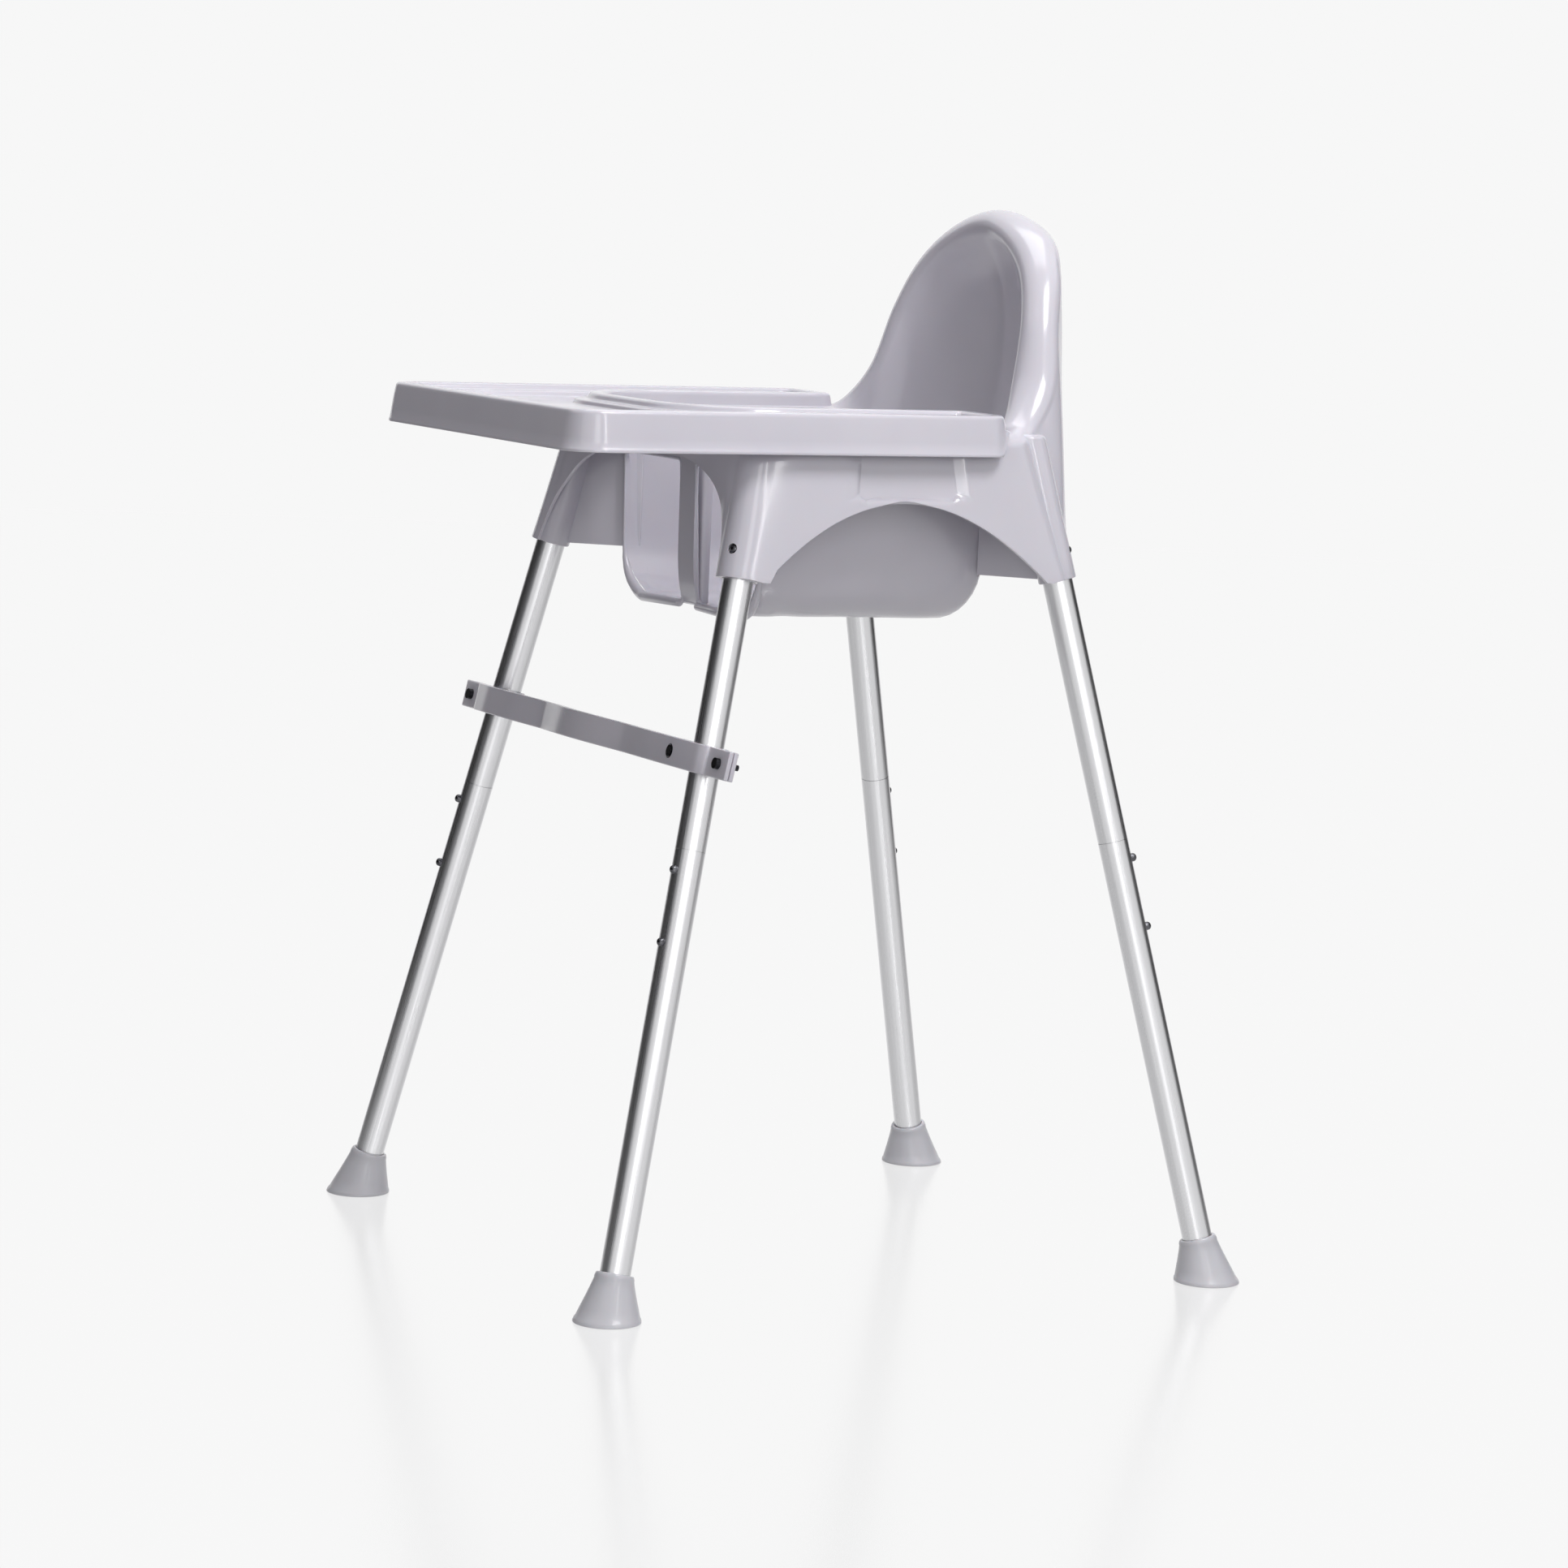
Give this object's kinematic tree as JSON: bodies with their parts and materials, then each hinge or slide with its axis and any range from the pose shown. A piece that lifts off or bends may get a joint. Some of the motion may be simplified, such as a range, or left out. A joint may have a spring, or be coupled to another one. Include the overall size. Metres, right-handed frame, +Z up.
{
  "type": "baby high chair",
  "caption": "Baby high chair: moulded one-piece seat and backrest on splayed tube legs with flared feet, a lift-off tray with a belly bay and a bolted footrest bar.",
  "frame": {"origin": "on the floor, at the middle of the four feet", "axes": "+Z up, -Y the way the seated child faces, +X the child's left"},
  "size_m": [0.603, 0.619, 0.9],
  "materials": {
    "shell_plastic": "glossy moulded polypropylene, pale lilac grey",
    "foot_plastic": "satin moulded plastic, pale grey",
    "leg_tube": "satin drawn tube, light metal grey",
    "sleeve_tube": "plain drawn steel",
    "button_steel": "bright plated",
    "spring_steel": "dark spring steel",
    "fastener_steel": "black oxide"
  },
  "bodies": {
    "frame": {"seat_shell": "shell_plastic", "upper_leg_front_left": "leg_tube", "upper_leg_front_right": "leg_tube", "upper_leg_rear_left": "leg_tube", "upper_leg_rear_right": "leg_tube", "lower_leg_front_left": "leg_tube", "lower_leg_front_right": "leg_tube", "lower_leg_rear_left": "leg_tube", "lower_leg_rear_right": "leg_tube", "sleeve_front_left": "sleeve_tube", "sleeve_front_right": "sleeve_tube", "sleeve_rear_left": "sleeve_tube", "sleeve_rear_right": "sleeve_tube", "foot_front_left": "foot_plastic", "foot_front_right": "foot_plastic", "foot_rear_left": "foot_plastic", "foot_rear_right": "foot_plastic", "footrest_bar": "shell_plastic", "footrest_clamp_left": "shell_plastic", "footrest_clamp_right": "shell_plastic", "footrest_bolts": "fastener_steel", "footrest_nuts": "fastener_steel"},
    "tray": {"tray": "shell_plastic"},
    "hub_catch_front_left": {"hub_button_front_left": "button_steel", "hub_spring_front_left": "spring_steel"},
    "hub_catch_front_right": {"hub_button_front_right": "button_steel", "hub_spring_front_right": "spring_steel"},
    "hub_catch_rear_left": {"hub_button_rear_left": "button_steel", "hub_spring_rear_left": "spring_steel"},
    "hub_catch_rear_right": {"hub_button_rear_right": "button_steel", "hub_spring_rear_right": "spring_steel"},
    "top_catch_front_left": {"top_button_front_left": "button_steel", "top_spring_front_left": "spring_steel"},
    "top_catch_front_right": {"top_button_front_right": "button_steel", "top_spring_front_right": "spring_steel"},
    "top_catch_rear_left": {"top_button_rear_left": "button_steel", "top_spring_rear_left": "spring_steel"},
    "top_catch_rear_right": {"top_button_rear_right": "button_steel", "top_spring_rear_right": "spring_steel"},
    "low_catch_front_left": {"low_button_front_left": "button_steel", "low_spring_front_left": "spring_steel"},
    "low_catch_front_right": {"low_button_front_right": "button_steel", "low_spring_front_right": "spring_steel"},
    "low_catch_rear_left": {"low_button_rear_left": "button_steel", "low_spring_rear_left": "spring_steel"},
    "low_catch_rear_right": {"low_button_rear_right": "button_steel", "low_spring_rear_right": "spring_steel"}
  },
  "joints": [
    {"name": "tray_lift", "type": "slide", "parent": "frame", "child": "tray", "axis": [0, 0, 1], "range_m": [0, 0.25]},
    {"name": "hub_press_front_left", "type": "slide", "parent": "frame", "child": "hub_catch_front_left", "axis": [-0.5119, 0.821, -0.2528], "range_m": [0, 0.0058], "stiffness_N_per_m": 500, "springref_m": -0.002},
    {"name": "hub_press_front_right", "type": "slide", "parent": "frame", "child": "hub_catch_front_right", "axis": [0.5119, 0.821, -0.2528], "range_m": [0, 0.0058], "stiffness_N_per_m": 500, "springref_m": -0.002},
    {"name": "hub_press_rear_left", "type": "slide", "parent": "frame", "child": "hub_catch_rear_left", "axis": [-0.5119, -0.821, -0.2528], "range_m": [0, 0.0058], "stiffness_N_per_m": 500, "springref_m": -0.002},
    {"name": "hub_press_rear_right", "type": "slide", "parent": "frame", "child": "hub_catch_rear_right", "axis": [0.5119, -0.821, -0.2528], "range_m": [0, 0.0058], "stiffness_N_per_m": 500, "springref_m": -0.002},
    {"name": "top_press_front_left", "type": "slide", "parent": "frame", "child": "top_catch_front_left", "axis": [-0.2415, 0.9398, -0.2418], "range_m": [0, 0.0058], "stiffness_N_per_m": 500, "springref_m": -0.002},
    {"name": "top_press_front_right", "type": "slide", "parent": "frame", "child": "top_catch_front_right", "axis": [0.2415, 0.9398, -0.2418], "range_m": [0, 0.0058], "stiffness_N_per_m": 500, "springref_m": -0.002},
    {"name": "top_press_rear_left", "type": "slide", "parent": "frame", "child": "top_catch_rear_left", "axis": [-0.2415, -0.9398, -0.2418], "range_m": [0, 0.0058], "stiffness_N_per_m": 500, "springref_m": -0.002},
    {"name": "top_press_rear_right", "type": "slide", "parent": "frame", "child": "top_catch_rear_right", "axis": [0.2415, -0.9398, -0.2418], "range_m": [0, 0.0058], "stiffness_N_per_m": 500, "springref_m": -0.002},
    {"name": "low_press_front_left", "type": "slide", "parent": "frame", "child": "low_catch_front_left", "axis": [-0.2415, 0.9398, -0.2418], "range_m": [0, 0.0058], "stiffness_N_per_m": 500, "springref_m": -0.002},
    {"name": "low_press_front_right", "type": "slide", "parent": "frame", "child": "low_catch_front_right", "axis": [0.2415, 0.9398, -0.2418], "range_m": [0, 0.0058], "stiffness_N_per_m": 500, "springref_m": -0.002},
    {"name": "low_press_rear_left", "type": "slide", "parent": "frame", "child": "low_catch_rear_left", "axis": [-0.2415, -0.9398, -0.2418], "range_m": [0, 0.0058], "stiffness_N_per_m": 500, "springref_m": -0.002},
    {"name": "low_press_rear_right", "type": "slide", "parent": "frame", "child": "low_catch_rear_right", "axis": [0.2415, -0.9398, -0.2418], "range_m": [0, 0.0058], "stiffness_N_per_m": 500, "springref_m": -0.002}
  ]
}
